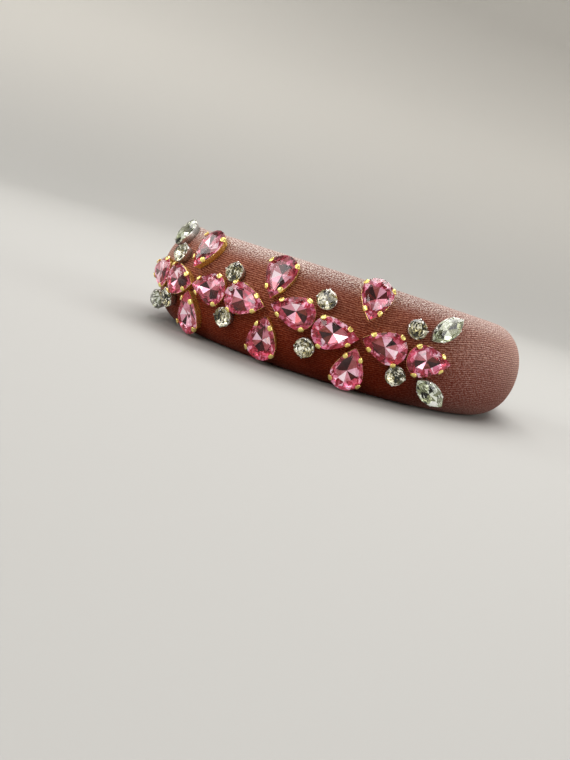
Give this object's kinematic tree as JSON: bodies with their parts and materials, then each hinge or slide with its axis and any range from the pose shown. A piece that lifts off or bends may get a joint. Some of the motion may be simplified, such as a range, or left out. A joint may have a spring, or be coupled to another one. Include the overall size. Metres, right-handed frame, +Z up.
{
  "type": "padded headband",
  "caption": "Velvet padded headband with flower-shaped groups of glass stones in claw settings over the crown, lying on its side edge.",
  "frame": {"origin": "middle of the underside of the object's box, on the surface that it lies on", "axes": "+Z up, across the band's width; -Y towards the crown and +Y towards the open ends; +X to the right as the crown is seen from the front"},
  "size_m": [0.1558, 0.1384, 0.0437],
  "materials": {
    "velvet": "dusty rose stretch velvet with a short sheared pile and fine rows along the band",
    "gold": "bright yellow plating",
    "silver": "bright silver-coloured plating",
    "pink_glass": "polished facets over a mirror-foiled back",
    "clear_glass": "polished facets over a mirror-foiled back"
  },
  "bodies": {
    "root": {"padded_band": "velvet", "petal_left_end_setting": "gold", "petal_left_end_stone": "pink_glass", "petal_left_flower_left_setting": "gold", "petal_left_flower_left_stone": "pink_glass", "petal_left_flower_upper_setting": "gold", "petal_left_flower_upper_stone": "pink_glass", "petal_left_flower_lower_setting": "gold", "petal_left_flower_lower_stone": "pink_glass", "petal_left_flower_right_setting": "gold", "petal_left_flower_right_stone": "pink_glass", "petal_middle_flower_left_setting": "gold", "petal_middle_flower_left_stone": "pink_glass", "petal_middle_flower_upper_setting": "gold", "petal_middle_flower_upper_stone": "pink_glass", "petal_middle_flower_lower_setting": "gold", "petal_middle_flower_lower_stone": "pink_glass", "petal_middle_flower_right_setting": "gold", "petal_middle_flower_right_stone": "pink_glass", "petal_right_flower_left_setting": "gold", "petal_right_flower_left_stone": "pink_glass", "petal_right_flower_upper_setting": "gold", "petal_right_flower_upper_stone": "pink_glass", "petal_right_flower_lower_setting": "gold", "petal_right_flower_lower_stone": "pink_glass", "petal_right_flower_right_setting": "gold", "petal_right_flower_right_stone": "pink_glass", "petal_right_end_setting": "gold", "petal_right_end_stone": "pink_glass", "leaf_left_upper_setting": "silver", "leaf_left_upper_stone": "clear_glass", "leaf_left_lower_setting": "silver", "leaf_left_lower_stone": "clear_glass", "leaf_right_upper_setting": "silver", "leaf_right_upper_stone": "clear_glass", "leaf_right_lower_setting": "silver", "leaf_right_lower_stone": "clear_glass", "round_outer_left_upper_setting": "silver", "round_outer_left_upper_stone": "clear_glass", "round_outer_left_lower_setting": "silver", "round_outer_left_lower_stone": "clear_glass", "round_inner_left_upper_setting": "silver", "round_inner_left_upper_stone": "clear_glass", "round_inner_left_lower_setting": "silver", "round_inner_left_lower_stone": "clear_glass", "round_inner_right_upper_setting": "silver", "round_inner_right_upper_stone": "clear_glass", "round_inner_right_lower_setting": "silver", "round_inner_right_lower_stone": "clear_glass", "round_outer_right_upper_setting": "silver", "round_outer_right_upper_stone": "clear_glass", "round_outer_right_lower_setting": "silver", "round_outer_right_lower_stone": "clear_glass"}
  },
  "joints": []
}
